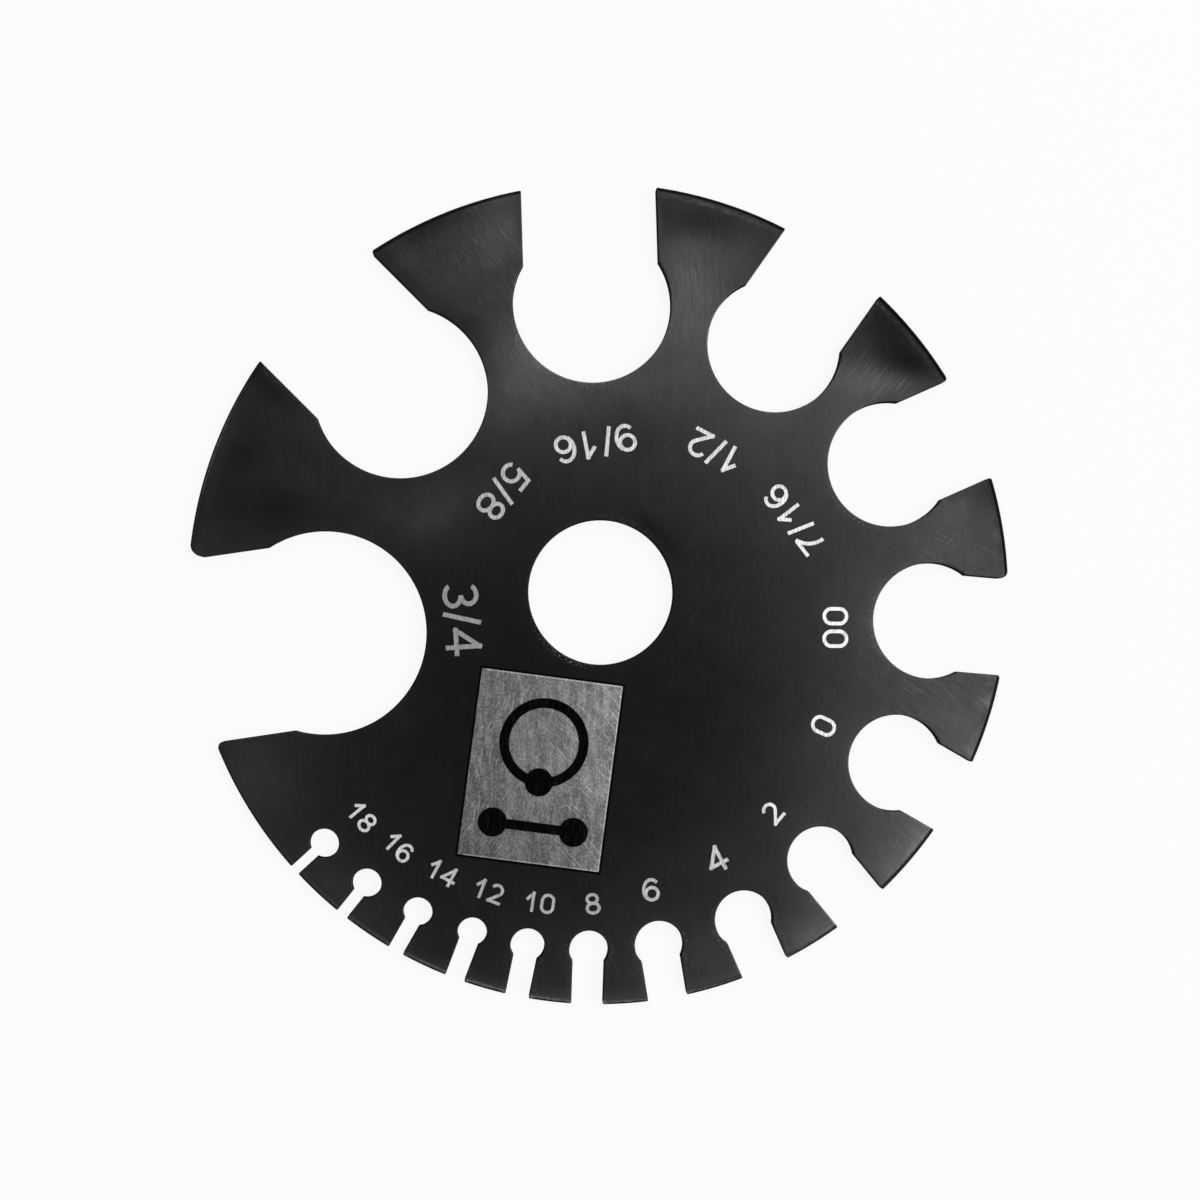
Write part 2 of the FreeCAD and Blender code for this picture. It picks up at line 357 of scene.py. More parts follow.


# Patches where the black finish is painted lighter, or darker where the last number is below zero:
# partly wear from handling, partly painted reflections of the lamps and painted shade on the gently
# uneven face. Place, reach along and across, direction in degrees, how much lighter, in greys of
# 255
wearAndPaintedLight = {
    "leftSide": (-30, 2, 50, 26, 90, 12),
    "leftTooth": (-33, 8, 20, 14, 90, 7),
    "upperLeftToothSide": (-20.2, 32.5, 3.5, 0.9, -47, -9),
    "besideBigBowl": (-14.9, 28.2, 3.2, 1.3, -38, -13),
    "belowBigBowl": (-12.2, 23.6, 3, 0.9, -70, -10),
    "besideTopBowlEdge": (-7.2, 24.2, 3.5, 1.1, -48, 10),
    "upperLeftToothTip": (-20.6, 35, 2.2, 1.2, -65, 9),
    "boreShadow": (5.6, 6.2, 3.4, 0.9, -45, -10),
    "besideFiveEighths": (-20.5, 12, 2.5, 2, 0, -6),
    "belowTopBowl": (-3.5, 19.5, 3, 1.5, 0, 6),
    "belowTopBowlEdge": (-1.5, 21.6, 6.5, 1.5, 4, 9),
    "besideSevenSixteenths": (24, 20, 2.5, 2, 0, 6),
    "besideFour": (33, -26, 3, 4, 0, 6),
    "besidePanel": (-21, -12, 2, 3, 0, 6),
    "besideThreeQuarters": (-12, 11, 2.5, 2, 0, 4),
    "leftToothFoot": (-31.5, 19, 2.5, 1.5, -45, 5),
    "belowFigures": (12, -28, 7, 3, 0, 6),
    "besideTwo": (21, -24, 4, 3, 0, 6),
    "rightFigures": (18, 8, 7, 3, 0, 5),
    "besideDoubleNought": (28.5, -2, 3, 5, 0, 6),
    "aboveCentre": (5, 17, 8, 3.5, 0, -7),
    "besideBowl": (-10, 19, 5, 4, 90, 6),
    "lowerFigures": (-14, -37, 9, 5, -15, -8),
    "lowerTeeth": (12, -38, 8, 4, -20, 9),
    "besideNought": (24, -16, 5, 4, 0, 6),
    "palmSide": (-14, -12, 30, 20, -50, -14),
    "leftToothUpper": (-36, 13, 10, 6, 80, -5),
    "belowCentre": (14, -10, 10, 8, 0, -6),
    "topSide": (2, 24, 20, 11, 0, 28),
    "rightSide": (36, -8, 30, 18, 90, 22),
    "lowerRight": (30, -30, 10, 8, 45, 18),
    "bottomSide": (0, -42, 30, 11, 0, 18),
    "upperRight": (20, 17, 12, 6, 0, 14),
    "topNeck": (8.9, 32.3, 7.5, 4, 90, 31),
    "topToothCorner": (15, 35, 4, 3, 0, 12),
    "topToothDark": (9.8, 38.3, 3.6, 1.7, -10, -20),
    "besideTopBowl": (-8.5, 23, 5, 3.5, 60, 20),
    "upperLeftTooth": (-14, 35, 9, 6, 20, 12),
    "upperLeftToothEdge": (-10.5, 38, 4, 3, 90, 20),
    "upperLeftToothRim": (-18, 38.0, 6, 1.3, 26, -16),
    "upperRightToothDark": (30.5, 27, 6, 2.8, 125, -20),
    "upperRightToothFoot": (32.6, 23.8, 4, 1.2, -16, -14),
    "upperRightToothBright": (28.8, 21.5, 6.5, 1.8, -14, 26),
    "upperRightToothEdge": (30.2, 20.6, 2, 1, 6, -15),
    "leftPalm": (-17.5, 8.2, 5, 4, 0, 18),
    "leftToothDark": (-33.4, 8.5, 4.6, 2, -5, -11),
    "leftToothSpot": (-36.7, 14.1, 1.6, 1.2, 20, -9),
    "leftToothSide": (-34, 21, 3.6, 0.9, -45, -13),
    "leftToothTip": (-41, 4.5, 3, 2, 0, 8),
    "lowerLeftTooth": (-36, -19, 6, 6, 0, 17),
    "lowerLeftEdge": (-27, -31, 8, 4, -40, 12),
    "lowerRightTip": (34, -27, 4, 3, 45, 18),
    "bottomRightTip": (21.5, -35.5, 4, 4, 0, 14),
    "bottomRightTipEdge": (21.6, -35.0, 3, 1.1, 44, 11),
    "lowerRightTipEdge": (29.6, -28.6, 2, 1, 27, 12),
    "rightTip": (37, -15, 4, 3, 0, 10),
    "rightTooth": (35.5, 6, 4, 3, 0, 8),
    "rightToothMiddle": (37.8, 9.3, 3.4, 1.3, 20, 9),
    "rightToothDark": (40, 10.5, 2.5, 2, 0, -16),
    "rightTipSpot": (40, -11.5, 0.7, 0.45, 75, 34),
    "rightTipCorner": (38.2, -16.7, 0.9, 0.4, -30, 30),
}
darkestFinish = 43  # grey of the finish where no patch lightens or darkens it, of 255

# Patches of short scratches, by the way they lean, and of worn edges, of the rim's bright line,
# partly wear and partly painted highlight, and of painted shade inside the rim: the last number is
# a share
marked = {
    "scratchSteep": [
        (-13, 36, 9, 5, 20, 0.9),
        (-8, 25, 9, 5, 100, 0.9),
        (-18, 9, 7, 4, 0, 0.7),
        (38, -13, 8, 5, 110, 0.4),
        (31, -24, 7, 4, 0, 0.6),
        (22, -33, 6, 4, 0, 0.45),
    ],
    "scratchRising": [
        (28, 22, 6, 3, -10, 1.1),
        (37, 6, 5, 5, 0, 0.45),
        (16, 33, 4, 3, 0, 0.4),
    ],
    "scratchFlat": [
        (35, 5, 7, 5, 0, 0.55),
        (36, -11, 7, 4, 0, 0.65),
        (28, -9, 7, 5, 0, 0.3),
        (-7, 21, 6, 3, 140, 0.6),
        (30, -24, 6, 4, 0, 0.4),
    ],
    "scratchUpright": [
        (9.5, 30, 7, 3.5, 90, 0.9),
        (12.5, 34, 4, 2.5, 0, 0.7),
        (2, 21, 10, 3, 0, 0.5),
        (0, -39, 16, 3, 0, 0.4),
    ],
    "chipped": [
        (-4.2, -6.8, 4, 1.6, -36, 0.9),
        (27.5, -4, 4, 2.5, 90, 0.35),
        (34, 1.5, 4, 2, 0, 0.15),
        (25, 8, 4, 3, -45, 0.3),
        (-2, 21, 8, 2, 0, 0.25),
        (3, 7.6, 6, 1.8, -20, 0.3),
        (-8, 25.5, 3, 1.5, -50, 0.3),
        (10, -36, 20, 3, 10, 0.3),
    ],
    "rimWearAndHighlight": [
        (12.5, 40, 6.5, 3, -15, 1.0),
        (29.5, 29.5, 6, 3, -55, 0.8),
        (3, -42.5, 22, 4, 0, 0.9),
        (-16, -39.5, 9, 4, -20, 0.5),
        (23, -35.5, 6, 3, 40, 0.5),
        (-39.5, 15, 6, 3, 66, 0.7),
    ],
    "rimShadeBand": [
        (41, 7, 6, 4, 100, 0.95),
        (40, -12.2, 5, 4, 73, 0.6),
    ],
}
leastMarked = 0.09  # faint scratches and chips that lie everywhere, and faint painted rim light and rim shade

# Two longer scratches right of the centre hole: middle, length, direction
loneScratches = [((8.77, 4.39), 4.4, 57), ((9.87, -2.03), 3.8, 56)]


def patchesAt(patches, point):
    total = 0.0
    for x, y, along, across, turn, strength in patches:
        local = turned(point - Vector((x, y)), -math.radians(turn))
        total += strength * math.exp(-((local.x / along) ** 2) - (local.y / across) ** 2)
    return total


def buildDisc(materials):
    points, rows = [], {}
    values = {"edgeReach": [], "shade": [], "rimShadedSide": [], **{mark: [] for mark in marked}}

    def corner(level, i):
        if (level, i) not in rows:
            place = planPoints[i]
            drop = faceDrop(place, distances[i])
            heights = {"top": thickness - drop, "floor": thickness - floorDepth, "under": drop}
            rows[(level, i)] = len(points)
            points.append((*place, heights[level]))
            values["edgeReach"].append(max(0.0, min(distances[i], rimRadius - place.length)))
            patchPlace = Vector((-place.x, place.y)) if level == "under" else place
            # The finish's grey: its wear together with the painted reflections and painted shade of
            # the patches
            values["shade"].append((darkestFinish + patchesAt(wearAndPaintedLight.values(), patchPlace)) / 255)
            # How far a point lies towards the upper right side of the rim, which is painted in
            # shade
            away = math.atan2(patchPlace.y, patchPlace.x) - math.radians(blackFinish["shadedRimHeading"])
            values["rimShadedSide"].append(0.5 + 0.5 * math.cos(away))
            for mark, patches in marked.items():
                values[mark].append(leastMarked + patchesAt(patches, patchPlace))
        return rows[(level, i)]

    everyFace = solidFaces + carvedFaces
    faces = [[corner("top", i) for i in face] for face in solidFaces]
    faces += [[corner("floor", i) for i in face] for face in carvedFaces]
    faces += [[corner("under", i) for i in face[::-1]] for face in everyFace]
    faces += wallsOf(everyFace, corner, "under", "top")
    faces += wallsOf(carvedFaces, corner, "top", "floor")
    piece = meshPiece("gaugeDisc", points, faces, materials, values)
    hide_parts("gauge_disc")


def inPanel(face):
    local = turned(middleOf(face) - Vector(panel["centre"]), -math.radians(panel["turn"]))
    return abs(local.x) < panel["width"] / 2 and abs(local.y) < panel["height"] / 2


# Grey of the figures nearest to a point: their own grey with painted light in it
def figureTone(point):
    heading = math.degrees(math.atan2(point.y, point.x))
    tones = {}
    for *_, direction, tone in notches.values():
        tones[abs((direction - heading + 180) % 360 - 180)] = tone
    return tones[min(tones)]


# Thin skin of bare steel on an engraved floor
def buildFloor(name, chosen, material):
    points, tones, rows = [], [], {}

    def corner(level, i):
        if (level, i) not in rows:
            rows[(level, i)] = len(points)
            points.append((*planPoints[i], thickness - floorDepth + level * disc["floorSkin"]))
            tones.append(figureTone(planPoints[i]))
        return rows[(level, i)]

    faces = [[corner(1, i) for i in face] for face in chosen]
    faces += [[corner(0, i) for i in face[::-1]] for face in chosen]
    faces += wallsOf(chosen, corner, 0, 1)
    piece = meshPiece(name, points, faces, [material], {"tone": tones})


# Shader helpers
def newMaterial(name):
    material = bpy.data.materials.new(name)
    material.use_nodes = True
    tree = material.node_tree
    return material, tree, tree.nodes["Principled BSDF"]


def node(tree, kind, **settings):
    made = tree.nodes.new("ShaderNode" + kind)
    for key, value in settings.items():
        setattr(made, key, value)
    return made


# Links a socket to an input, or writes a plain value there
def feed(tree, value, socket):
    if isinstance(value, bpy.types.NodeSocket):
        tree.links.new(value, socket)
    else:
        socket.default_value = value


def calc(tree, operation, a, b=0.0):
    made = node(tree, "Math", operation=operation)
    feed(tree, a, made.inputs[0])
    feed(tree, b, made.inputs[1])
    return made.outputs[0]


def plus(tree, a, *others):
    for other in others:
        a = calc(tree, "ADD", a, other)
    return a


def minus(tree, a, b):
    return calc(tree, "SUBTRACT", a, b)


def times(tree, a, *others):
    for other in others:
        a = calc(tree, "MULTIPLY", a, other)
    return a


def vectorCalc(tree, operation, a, b):
    made = node(tree, "VectorMath", operation=operation)
    feed(tree, a, made.inputs[0])
    feed(tree, b, made.inputs[1])
    return made.outputs[0]


# Turns the range low..high of a value into start..end
def spread(tree, value, low, high, start, end):
    made = node(tree, "MapRange", interpolation_type="SMOOTHSTEP")
    for socket, given in zip(made.inputs, (value, low, high, start, end)):
        feed(tree, given, socket)
    return made.outputs[0]


def noise(tree, place, scale, detail):
    made = node(tree, "TexNoise")
    feed(tree, place, made.inputs["Vector"])
    made.inputs["Scale"].default_value = scale
    made.inputs["Detail"].default_value = detail
    return made.outputs


def attribute(tree, name):
    return node(tree, "Attribute", attribute_name=name).outputs["Fac"]


# Place on the object in millimetres
def placeOf(tree):
    made = node(tree, "VectorMath", operation="SCALE")
    tree.links.new(node(tree, "TexCoord").outputs["Object"], made.inputs[0])
    made.inputs["Scale"].default_value = 1 / mm
    return made.outputs[0]


def newGroup(name, inputs, outputs):
    tree = bpy.data.node_groups.new(name, "ShaderNodeTree")
    for title in inputs:
        kind = "NodeSocketVector" if title == "Place" else "NodeSocketFloat"
        tree.interface.new_socket(title, in_out="INPUT", socket_type=kind)
    for title in outputs:
        tree.interface.new_socket(title, in_out="OUTPUT", socket_type="NodeSocketFloat")
    return tree, tree.nodes.new("NodeGroupInput").outputs, tree.nodes.new("NodeGroupOutput").inputs


def useGroup(tree, group, **given):
    made = node(tree, "Group", node_tree=group)
    for title, value in given.items():
        feed(tree, value, made.inputs[title])
    return made.outputs


# Place turned into a direction and squeezed, so that a texture on it runs in that direction
def along(tree, place, turn, length, width):
    turner = node(tree, "VectorRotate", rotation_type="Z_AXIS", invert=True)
    feed(tree, place, turner.inputs["Vector"])
    feed(tree, turn, turner.inputs["Angle"])
    size = node(tree, "CombineXYZ")
    for socket, value in zip(size.inputs, (length, width, width)):
        feed(tree, value, socket)
    return vectorCalc(tree, "DIVIDE", turner.outputs[0], size.outputs[0])


# Place pushed about gently, so that what lies on it isn't dead straight
def wavering(tree, place, scale, amount):
    push = vectorCalc(tree, "SUBTRACT", noise(tree, place, scale, 1)["Color"], (0.5, 0.5, 0.5))
    push = vectorCalc(tree, "MULTIPLY", push, (amount, amount, amount))
    return vectorCalc(tree, "ADD", place, push)


# How the shared effects are made
effects = {
    "grainWaver": (0.12, 1.2),     # scale of a line's wavering, and how far it strays
    "scratchWaver": (0.16, 0.7),
    "scratchThickness": 0.24,      # of its cell
    "scratchCore": 0.4,            # share of that which is fully bright
    "scratchStrength": (0.35, 0.95),  # chances between which a scratch grows from faint to full
    "loneFade": 0.4,               # share of its half length beyond which a scratch fades
    "speckCore": 0.3,              # share of a dot that is fully bright
    "chipMiddle": 0.45,            # from the edge, as a share of the width of wear
    "chipReach": 0.55,
    "chipCore": 0.05,              # fully worn this far to each side of the middle
    "chipFlecks": (4.5, 0.48, 0.66),  # how fine they are, and from where to where they grow
}


# Fine parallel lines that a belt or a brush leaves
def brushedGrain():
    tree, given, out = newGroup("brushedGrain", ["Place", "Turn", "Length", "Width"], ["Grain"])
    place = wavering(tree, given["Place"], *effects["grainWaver"])
    lines = noise(tree, along(tree, place, given["Turn"], given["Length"], given["Width"]), 1, 3)
    tree.links.new(spread(tree, lines["Fac"], *noiseRange, 0, 1), out["Grain"])
    return tree


# Short single scratches
def shortScratches():
    sockets = ["Place", "Turn", "Length", "Width"]
    tree, given, out = newGroup("shortScratches", sockets, ["Scratches"])
    place = wavering(tree, given["Place"], *effects["scratchWaver"])
    thick = effects["scratchThickness"]
    length = calc(tree, "DIVIDE", given["Length"], 2 * thick)
    width = calc(tree, "DIVIDE", given["Width"], 2 * thick)
    cells = node(tree, "TexVoronoi", voronoi_dimensions="2D", feature="F1")
    feed(tree, along(tree, place, given["Turn"], length, width), cells.inputs["Vector"])
    cells.inputs["Scale"].default_value = 1
    core = thick * effects["scratchCore"]
    mark = spread(tree, cells.outputs["Distance"], core, thick, 1, 0)
    chance = node(tree, "SeparateColor")
    tree.links.new(cells.outputs["Color"], chance.inputs[0])
    strength = spread(tree, chance.outputs[0], *effects["scratchStrength"], 0, 1)
    tree.links.new(times(tree, mark, strength), out["Scratches"])
    return tree


# One scratch at a place of its own
def loneScratch():
    tree, given, out = newGroup("loneScratch", ["Place", "Turn", "Length", "Width"], ["Scratch"])
    halfLength = times(tree, given["Length"], 0.5)
    local = along(tree, given["Place"], given["Turn"], halfLength, given["Width"])
    sides = node(tree, "SeparateXYZ")
    tree.links.new(local, sides.inputs[0])
    ends = spread(tree, calc(tree, "ABSOLUTE", sides.outputs[0]), effects["loneFade"], 1, 1, 0)
    core = spread(tree, calc(tree, "ABSOLUTE", sides.outputs[1]), 0, 1, 1, 0)
    tree.links.new(times(tree, ends, core), out["Scratch"])
    return tree


# Tiny separate dots
def tinySpecks():
    tree, given, out = newGroup("tinySpecks", ["Place", "Spacing", "Size"], ["Specks"])
    scale = node(tree, "CombineXYZ")
    for socket in scale.inputs:
        feed(tree, given["Spacing"], socket)
    cells = node(tree, "TexVoronoi", voronoi_dimensions="3D", feature="F1")
    spaced = vectorCalc(tree, "DIVIDE", given["Place"], scale.outputs[0])
    feed(tree, spaced, cells.inputs["Vector"])
    cells.inputs["Scale"].default_value = 1
    reach = times(tree, cells.outputs["Distance"], given["Spacing"])
    core = times(tree, given["Size"], effects["speckCore"])
    dot = spread(tree, reach, core, given["Size"], 1, 0)
    chance = node(tree, "SeparateColor")
    tree.links.new(cells.outputs["Color"], chance.inputs[0])
    tree.links.new(times(tree, dot, chance.outputs[0]), out["Specks"])
    return tree


# Finish that has gone in flecks just beside an edge
def edgeWear():
    tree, given, out = newGroup("edgeWear", ["Place", "Reach", "Width"], ["Wear"])
    middle = times(tree, given["Width"], effects["chipMiddle"])
    halfWidth = times(tree, given["Width"], effects["chipReach"])
    fromMiddle = calc(tree, "ABSOLUTE", minus(tree, given["Reach"], middle))
    near = spread(tree, fromMiddle, effects["chipCore"], halfWidth, 1, 0)
    scale, least, most = effects["chipFlecks"]
    flecks = spread(tree, noise(tree, given["Place"], scale, 3)["Fac"], least, most, 0, 1)
    tree.links.new(times(tree, near, flecks), out["Wear"])
    return tree


# How far across and up the panel a place lies, and how far outside its border
def panelPlace():
    tree, given, out = newGroup("panelPlace", ["Place"], ["Across", "Upward", "Reach"])
    turner = node(tree, "Mapping", vector_type="TEXTURE")
    turner.inputs["Location"].default_value = (*panel["centre"], 0)
    turner.inputs["Rotation"].default_value = (0, 0, math.radians(panel["turn"]))
    tree.links.new(given["Place"], turner.inputs["Vector"])
    sides = node(tree, "SeparateXYZ")
    tree.links.new(turner.outputs[0], sides.inputs[0])
    tree.links.new(sides.outputs[0], out["Across"])
    tree.links.new(sides.outputs[1], out["Upward"])
    across = minus(tree, calc(tree, "ABSOLUTE", sides.outputs[0]), panel["width"] / 2)
    upward = minus(tree, calc(tree, "ABSOLUTE", sides.outputs[1]), panel["height"] / 2)
    tree.links.new(calc(tree, "MAXIMUM", across, upward), out["Reach"])
    return tree


grainGroup = brushedGrain()
scratchGroup = shortScratches()
loneGroup = loneScratch()
speckGroup = tinySpecks()
edgeGroup = edgeWear()
panelGroup = panelPlace()


# The shared effects placed in a material: directions in degrees, sizes in millimetres
def grainAt(tree, place, degrees, length, width):
    turn = math.radians(degrees)
    return useGroup(tree, grainGroup, Place=place, Turn=turn, Length=length, Width=width)["Grain"]


def scratchesAt(tree, place, degrees, length, width):
    turn = math.radians(degrees)
    made = useGroup(tree, scratchGroup, Place=place, Turn=turn, Length=length, Width=width)
    return made["Scratches"]


def specksAt(tree, place, spacing, size):
    return useGroup(tree, speckGroup, Place=place, Spacing=spacing, Size=size)["Specks"]


# Gives a shader its grey, as it shows on a screen, its roughness and its fine relief
def coat(tree, shader, grey, roughness, height, look):
    colour = node(tree, "Gamma")
    feed(tree, grey, colour.inputs["Color"])
    colour.inputs["Gamma"].default_value = screenGamma
    tree.links.new(colour.outputs[0], shader.inputs["Base Color"])
    tree.links.new(roughness, shader.inputs["Roughness"])
    bump = node(tree, "Bump")
    bump.inputs["Strength"].default_value = look["relief"]
    bump.inputs["Distance"].default_value = look["reliefDepth"] * mm
    feed(tree, height, bump.inputs["Height"])
    tree.links.new(bump.outputs[0], shader.inputs["Normal"])


# The black finish: how strongly each mark shows, in grey from 0 to 1
blackFinish = {
    "grainLines": (93, 9.0, 0.2),  # direction, length and width of the brushed lines
    "grain": 0.018,                # share by which they lighten and darken the finish
    "mottleScale": 0.35,
    "mottle": 0.02,
    "scratches": {                 # which way they run, and how much longer than their sizes
        "scratchSteep": (122, 1.0),
        "scratchRising": (50, 1.7),
        "scratchFlat": (150, 2.0),
        "scratchUpright": (96, 1.2),
    },
    "scratchSizes": [(1.3, 0.1), (2.6, 0.11)],
    "scratch": 0.08,
    "hairSize": (2.4, 0.09),
    "hair": 0.06,                  # share of finer lines among the scratches
    "loneScratch": 0.035,
    "loneWidth": 0.13,
    "specks": (1.9, 0.1),          # spacing and size
    "speck": 0.5,
    "chipWidth": 0.75,
    "chip": 0.30,
    "shadedRimHeading": 40,                # side of the rim that is painted in shade, and across from it painted lit
    "rimShadeReach": (0.1, 0.7),      # from the rim inwards
    "darkenedShare": 0.3,                   # what is left of the grey where it is darkened: painted shade on the rim, and the outline beside the panel
    "panelOutline": (0.12, 0.3),      # reach of the darker outline outside the panel's border
    "signLines": (84, 1.6, 0.12),
    "signSoot": (0.22, 0.825),     # what is left of the grey on the sign in the panel
    "signStart": 0.3,              # of its brushed lines, those below this keep all their soot
    "signInset": 0.3,
    "rimShadeSpan": (0.2, 0.45, 1.3),   # from the rim: where a line of painted shade begins, is darkest and ends
    "rimShadeStrength": 0.27,
    "footSide": (0.3, 0.7),        # how deep in painted shade the rim is from its lower to its upper side
    "lineInset": (0.85, 0.28),     # from the rim to the bright line, above and below
    "lineWidth": (0.36, 0.24),
    "lineCore": 0.05,
    "rimLine": 0.30,
    "rimLineAbove": 0.25,          # share of it above
    "rimFlecks": (2.2, 0.38, 0.62),
    "leastFleck": (0.2, 0.6),      # how bright it is between the flecks, above and below
    "footReach": (0.2, 2.2),
    "rimFoot": 0.07,
    "metal": 0.8,
    "specular": 0.1,
    "scratchGloss": 0.3,           # how much a scratch takes from the mottling
    "mottleReach": (0.8, 1.1),     # the range of mottling that roughness follows
    "roughness": (0.28, 0.36),
    "relief": 0.2,
    "reliefDepth": 0.01,
}


# Short scratches and finer hairs, where the patches of their kind lie
def scratchMarks(tree, place, look):
    scratches, hairs = 0.0, 0.0
    for lean, (degrees, stretch) in look["scratches"].items():
        amount = attribute(tree, lean)
        for length, width in look["scratchSizes"]:
            marks = scratchesAt(tree, place, degrees, length * stretch, width)
            scratches = plus(tree, scratches, times(tree, marks, amount))
        hair = grainAt(tree, place, degrees, *look["hairSize"])
        hair = spread(tree, hair, 0, 1, -look["hair"], look["hair"])
        hairs = plus(tree, hairs, times(tree, hair, amount))
    return scratches, hairs


def loneMarks(tree, place, look):
    total = 0.0
    for middle, length, degrees in loneScratches:
        away = vectorCalc(tree, "SUBTRACT", place, (*middle, 0))
        turn, width = math.radians(degrees), look["loneWidth"]
        mark = useGroup(tree, loneGroup, Place=away, Turn=turn, Length=length, Width=width)
        total = plus(tree, total, mark["Scratch"])
    return total


# What is left of the grey where it is darkened: an outline beside the panel, soot half rubbed off
# its sign, and painted shade round the rim
def darkeningShare(tree, place, rim, look):
    border = useGroup(tree, panelGroup, Place=place)["Reach"]
    beside = spread(tree, border, *look["panelOutline"], look["darkenedShare"], 1)
    rubbedOff = grainAt(tree, place, *look["signLines"])
    onSign = spread(tree, rubbedOff, look["signStart"], 1, *look["signSoot"])
    inside = spread(tree, border, -look["signInset"], 0, onSign, 0)
    beside = calc(tree, "MAXIMUM", beside, inside)
    # Painted shade round the rim, strongest on its upper right side
    gone = times(tree, attribute(tree, "rimShadedSide"), 1 - look["darkenedShare"])
    onRim = spread(tree, rim, *look["rimShadeReach"], gone, 0)
    return times(tree, beside, minus(tree, 1.0, onRim))


# What is left of the grey where a line inside the rim is painted in shade
def rimShadeShare(tree, rim, look):
    first, darkest, last = look["rimShadeSpan"]
    rising = spread(tree, rim, first, darkest, 0, 1)
    falling = spread(tree, rim, darkest, last, 1, 0)
    # Painted shade on the line inside the rim, where its patches lie
    dulled = times(tree, calc(tree, "MINIMUM", rising, falling), attribute(tree, "rimShadeBand"))
    return minus(tree, 1.0, times(tree, dulled, look["rimShadeStrength"]))


# A flecked bright line, partly wear and partly a painted highlight: on the very rim below, and
# inside the painted shade above, with a painted lighter band inside the rim below
def rimLight(tree, place, rim, look):
    atFoot = spread(tree, attribute(tree, "rimShadedSide"), *look["footSide"], 1, 0)
    between = spread(tree, atFoot, 0, 1, *look["leastFleck"])
    scale, least, most = look["rimFlecks"]
    flecks = spread(tree, noise(tree, place, scale, 4)["Fac"], least, most, between, 1)
    fromLine = minus(tree, rim, spread(tree, atFoot, 0, 1, *look["lineInset"]))
    halfWidth = spread(tree, atFoot, 0, 1, *look["lineWidth"])
    line = spread(tree, calc(tree, "ABSOLUTE", fromLine), look["lineCore"], halfWidth, 1, 0)
    above = look["rimLineAbove"] * look["rimLine"]
    line = times(tree, line, flecks, spread(tree, atFoot, 0, 1, above, look["rimLine"]))
    foot = times(tree, atFoot, spread(tree, rim, *look["footReach"], look["rimFoot"], 0))
    return times(tree, plus(tree, line, foot), attribute(tree, "rimWearAndHighlight"))


def rimDistance(tree, place):
    radius = node(tree, "VectorMath", operation="LENGTH")
    tree.links.new(vectorCalc(tree, "MULTIPLY", place, (1, 1, 0)), radius.inputs[0])
    return minus(tree, rimRadius, radius.outputs["Value"])


def blackenedSteel():
    material, tree, shader = newMaterial("blackenedSteel")
    look = blackFinish
    place = placeOf(tree)
    rim = rimDistance(tree, place)
    shade = attribute(tree, "shade")
    scratches, hairs = scratchMarks(tree, place, look)
    specks = specksAt(tree, place, *look["specks"])
    reach = attribute(tree, "edgeReach")
    chips = useGroup(tree, edgeGroup, Place=place, Reach=reach, Width=look["chipWidth"])["Wear"]
    chips = times(tree, chips, attribute(tree, "chipped"))
    grain = grainAt(tree, place, *look["grainLines"])
    grain = spread(tree, grain, 0, 1, 1 - look["grain"], 1 + look["grain"])
    mottle = noise(tree, place, look["mottleScale"], 3)["Fac"]
    mottle = spread(tree, mottle, *noiseRange, 1 - look["mottle"], 1 + look["mottle"])

    grey = times(tree, shade, grain, mottle, plus(tree, 1.0, hairs))
    grey = plus(tree, grey, times(tree, scratches, look["scratch"]))
    grey = plus(tree, grey, times(tree, specks, shade, look["speck"]))
    grey = plus(tree, grey, times(tree, loneMarks(tree, place, look), look["loneScratch"]))
    grey = times(tree, grey, darkeningShare(tree, place, rim, look), rimShadeShare(tree, rim, look))
    grey = plus(tree, grey, times(tree, chips, look["chip"]), rimLight(tree, place, rim, look))

    dulled = minus(tree, mottle, times(tree, scratches, look["scratchGloss"]))
    roughness = spread(tree, dulled, *look["mottleReach"], *look["roughness"])
    coat(tree, shader, grey, roughness, minus(tree, grain, scratches), look)
    shader.inputs["Metallic"].default_value = look["metal"]
    shader.inputs["Specular IOR Level"].default_value = look["specular"]
    return material


# Sawn and filed walls of the notches and the engraving, blackened like the faces
wallFinish = {
    "filing": (2.2, 2.2, 1.2),  # how fine the file's marks are, across and down a wall
    "grey": (0.14, 0.2),
    "roughness": (0.75, 0.6),
    "relief": 0.25,
    "reliefDepth": 0.02,
}


def blackenedWalls():
    material, tree, shader = newMaterial("blackenedWalls")
    look = wallFinish
    filed = vectorCalc(tree, "MULTIPLY", placeOf(tree), look["filing"])
    filing = noise(tree, filed, 1, 3)["Fac"]
    grey = spread(tree, filing, *noiseRange, *look["grey"])
    coat(tree, shader, grey, spread(tree, filing, *noiseRange, *look["roughness"]), filing, look)
    shader.inputs["Specular IOR Level"].default_value = 0.0
    return material


# Bare steel in the engraved figures
figureFinish = {
    "grainLines": (80, 1.2, 0.1),
    "grain": (0.86, 1.09),
    "specks": (0.4, 0.1),
    "speck": 0.3,
    "metal": 0.7,
    "roughness": (0.55, 0.42),
    "relief": 0.2,
    "reliefDepth": 0.01,
}


def bareSteel():
    material, tree, shader = newMaterial("bareSteel")
    look = figureFinish
    place = placeOf(tree)
    grain = grainAt(tree, place, *look["grainLines"])
    specks = specksAt(tree, place, *look["specks"])
    grey = times(tree, attribute(tree, "tone"), spread(tree, grain, 0, 1, *look["grain"]))
    grey = minus(tree, grey, times(tree, specks, look["speck"]))
    coat(tree, shader, grey, spread(tree, grain, 0, 1, *look["roughness"]), grain, look)
    shader.inputs["Metallic"].default_value = look["metal"]
    return material


